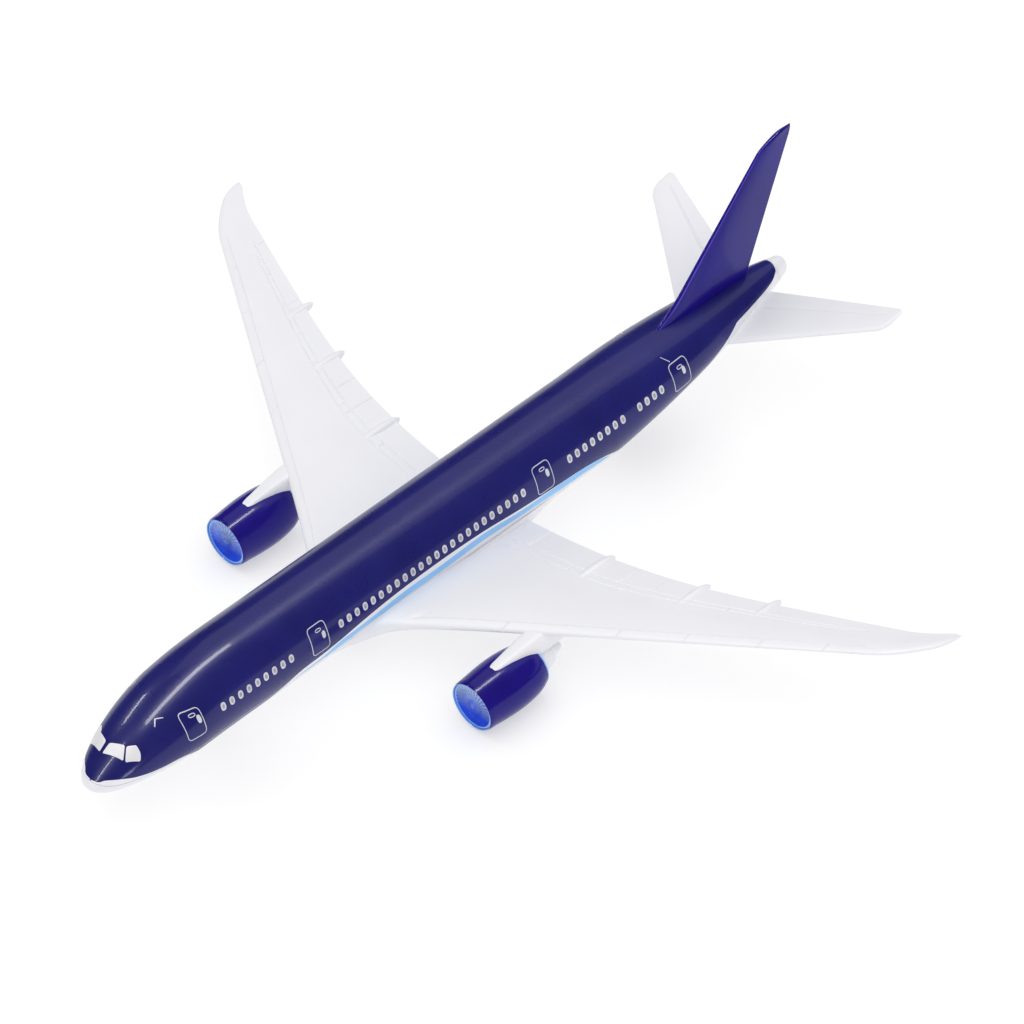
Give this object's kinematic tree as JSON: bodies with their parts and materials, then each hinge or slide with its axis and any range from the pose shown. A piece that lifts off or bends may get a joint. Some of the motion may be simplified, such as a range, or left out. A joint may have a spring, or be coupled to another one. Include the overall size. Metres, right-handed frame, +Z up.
{
  "type": "desktop airliner model",
  "caption": "Small desk display model of a twin-engined wide-body airliner: navy body, white swept wings with raked tips, blue fin and underwing engines.",
  "frame": {"origin": "under the middle of the model's box, on the plane of the nacelle bottoms, with the fuselage axis level 13.0 mm above it", "axes": "+X to the model's port side, +Y aft along the fuselage (the nose points to -Y), +Z up"},
  "size_m": [0.168, 0.1599, 0.044],
  "materials": {
    "navy_paint": "high gloss lacquer",
    "white_paint": "gloss lacquer",
    "wing_plastic": "satin to gloss moulded plastic",
    "fin_blue": "high gloss, printed light-blue streaks",
    "cowl_blue": "high gloss",
    "fan_face": "satin, moulded radial blades",
    "core_plastic": "satin",
    "socket_metal": "brushed",
    "screw_steel": "zinc plated"
  },
  "bodies": {
    "root": {"fuselage_upper_shell": "navy_paint", "forward_belly_shell": "white_paint", "aft_belly_shell": "white_paint", "wing_and_belly_fairing": "wing_plastic", "stand_socket": "socket_metal", "vertical_fin": "fin_blue", "port_stabiliser": "wing_plastic", "starboard_stabiliser": "wing_plastic", "port_nacelle_cowl": "cowl_blue", "port_fan_disc": "fan_face", "port_exhaust_core": "core_plastic", "port_pylon": "wing_plastic", "starboard_nacelle_cowl": "cowl_blue", "starboard_fan_disc": "fan_face", "starboard_exhaust_core": "core_plastic", "starboard_pylon": "wing_plastic", "nose_screw": "screw_steel", "wing_front_screw": "screw_steel", "wing_rear_screw": "screw_steel", "tail_screw": "screw_steel"}
  },
  "joints": []
}
